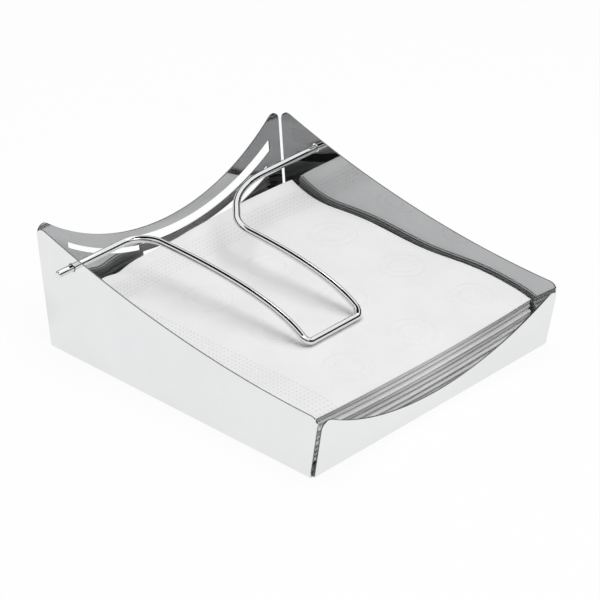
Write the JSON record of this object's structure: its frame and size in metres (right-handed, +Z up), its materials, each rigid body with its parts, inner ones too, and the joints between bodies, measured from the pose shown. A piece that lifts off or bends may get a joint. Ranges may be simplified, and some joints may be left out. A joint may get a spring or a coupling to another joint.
{
  "type": "napkin dispenser",
  "caption": "Open table napkin holder: a polished steel tray folded from one sheet, with low curved edges and a slotted back, and a hinged wire loop that weighs down a stack of folded napkins.",
  "frame": {"origin": "on the underside of the tray's floor, under its middle", "axes": "+X along the axis that the wire turns on, -Y towards the low front wall, +Z up"},
  "size_m": [0.1952, 0.1996, 0.0683],
  "materials": {
    "tray_steel": "mirror-polished stainless sheet",
    "arm_wire": "bright chrome-plated round wire",
    "napkin_paper": "soft white embossed tissue"
  },
  "bodies": {
    "tray": {"tray": "tray_steel", "napkin_01": "napkin_paper", "napkin_02": "napkin_paper", "napkin_03": "napkin_paper", "napkin_04": "napkin_paper", "napkin_05": "napkin_paper", "napkin_06": "napkin_paper", "napkin_07": "napkin_paper", "napkin_08": "napkin_paper", "napkin_09": "napkin_paper", "napkin_10": "napkin_paper"},
    "weight_arm": {"weight_arm": "arm_wire"}
  },
  "joints": [
    {"name": "arm_hinge", "type": "hinge", "parent": "tray", "child": "weight_arm", "pos_m": [0, 0.0725, 0.0546], "axis": [-1, 0, 0], "range_deg": [0, 199]}
  ]
}
